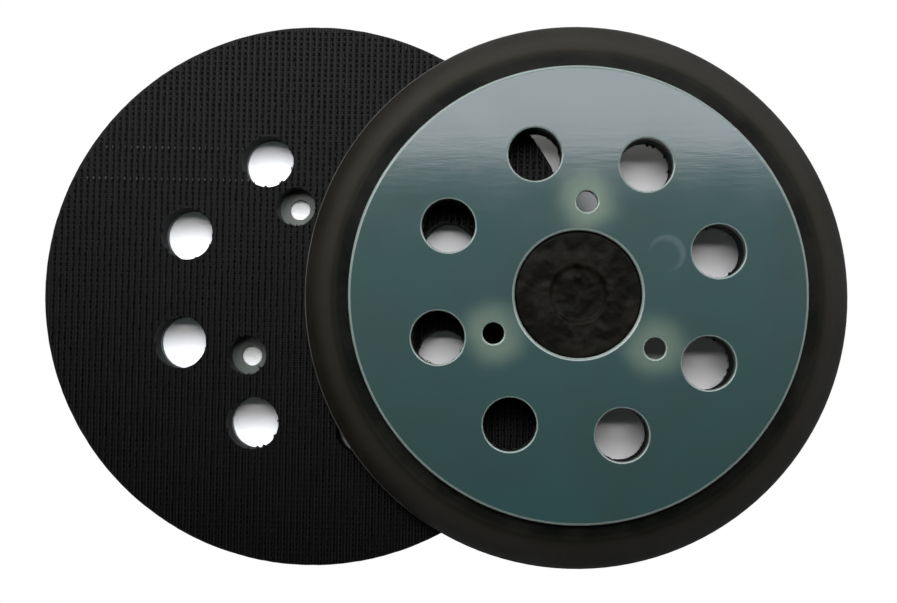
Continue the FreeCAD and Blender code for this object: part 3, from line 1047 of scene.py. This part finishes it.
# %% Stand the hooks on the cloth
EDGE_MARGIN = 0.6 * MM    # bare cloth along the pad's edge
HOOK_HEIGHT = 0.86 * CLOTH_FACE
HOOK_REACH = 0.66 * MM
HOOK_RADIUS = 0.17 * MM
HOOK_LEAN = 0.16          # the most that a hook leans, in radians


def grown(name, start, group, values):
    """Runs a tree on a mesh once and keeps the result as a plain mesh."""
    seed = bpy.data.objects.new(name, start)
    bpy.context.scene.collection.objects.link(seed)
    modifier = seed.modifiers.new("grow", "NODES")
    modifier.node_group = group
    for item in group.interface.items_tree:
        if item.in_out == "INPUT" and item.name in values:
            modifier[item.identifier] = values[item.name]
    seed.update_tag()
    graph = bpy.context.evaluated_depsgraph_get()
    mesh = bpy.data.meshes.new_from_object(seed.evaluated_get(graph))
    seed.modifiers.clear()
    seed.data = mesh
    print(name, len(mesh.polygons), "faces")
    return seed


def level_cloth(side):
    """A copy of the cloth's mesh as it was modelled, before its pad was placed."""
    cloth = cloths[side].data.copy()
    cloth.transform(PLACE[side].inverted())
    return cloth


def add_hooks(side):
    values = {"Column Pitch": COLUMN_PITCH, "Row Pitch": ROW_PITCH, "Field Width": 2 * PAD_R,
              "Edge Margin": EDGE_MARGIN, "Turn": LATTICE_TURN[side], "Face Height": CLOTH_FACE,
              "Hook Height": HOOK_HEIGHT, "Hook Reach": HOOK_REACH, "Hook Radius": HOOK_RADIUS,
              "Lean": HOOK_LEAN, "Seed": SIDES.index(side) + 3, "Material": hook_nylon(side)}
    hooks = grown(f"{side}_hooks", level_cloth(side), HOOK_FIELD, values)
    hooks.data.transform(PLACE[side])
    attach(hooks, f"{side}_pad")
    return hooks


hooks = {side: add_hooks(side) for side in SIDES}

# %% [markdown]
# ## The marker rows
# Two short rows of hooks are spun from a paler yarn and show as dotted lines. A second tree stands them along
# a line, one to a column, halfway between two ordinary rows, and leaves out those that would be over a hole.

# %% Marker rows
MARKER_ROWS = ((-21.5, -37, -11, 1.0), (-27.5, -34, -12, 0.85))    # row, first and last column, size
MARKER_INPUTS = [("Columns", "Int"), ("Start X", "Float"), ("Start Y", "Float")]
MARKER_HEIGHT = 0.9 * CLOTH_FACE
MARKER_REACH = 0.45 * MM
MARKER_RADIUS = 0.26 * MM


def marker_nylon(side):
    material, tree = empty_material(f"{side}_marker_nylon")
    place = pad_vector(tree, side)
    inputs = {"Vector": place, "Size": 0.003, "First": grey(0.13), "Second": grey(0.03)}
    grain = effect(tree, GRAIN, {"Vector": place, "Size": 0.0004})
    surface(tree, Base_Color=effect(tree, CLOUDS, inputs), Roughness=fade(tree, grain, 0.3, 1.0, 0.35, 0.5),
            Normal=bumps(tree, grain, 0.000008))
    return material


def marker_row_tree():
    tree = Tree("marker_row", SHARED_INPUTS + MARKER_INPUTS)
    given = tree.given
    inputs = {"Count": given["Columns"], "Offset": tree.vector(given["Column Pitch"]),
              "Start Location": tree.vector(given["Start X"], given["Start Y"], given["Face Height"])}
    line = tree.add("GeometryNodeMeshLine", inputs).outputs[0]
    kept = tree.without(tree.turned(line), away_from_cloth(tree))
    tree.stand_hooks(kept, tree.vector(z=given["Turn"]), tree.random_size(0.8, 1.05))
    return tree.group


MARKER_ROW = marker_row_tree()


def add_markers(side):
    nylon = marker_nylon(side)
    made = []
    for number, (row, first, last, size) in enumerate(MARKER_ROWS):
        values = {"Column Pitch": COLUMN_PITCH, "Columns": last - first + 1, "Turn": LATTICE_TURN[side],
                  "Start X": first * COLUMN_PITCH, "Start Y": row * ROW_PITCH, "Face Height": CLOTH_FACE,
                  "Hook Height": MARKER_HEIGHT, "Hook Reach": MARKER_REACH,
                  "Hook Radius": MARKER_RADIUS * size, "Seed": number, "Material": nylon}
        markers = grown(f"{side}_markers_{number + 1}", level_cloth(side), MARKER_ROW, values)
        markers.data.transform(PLACE[side])
        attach(markers, f"{side}_pad")
        made.append(markers)
    return made


markers = {side: add_markers(side) for side in SIDES}
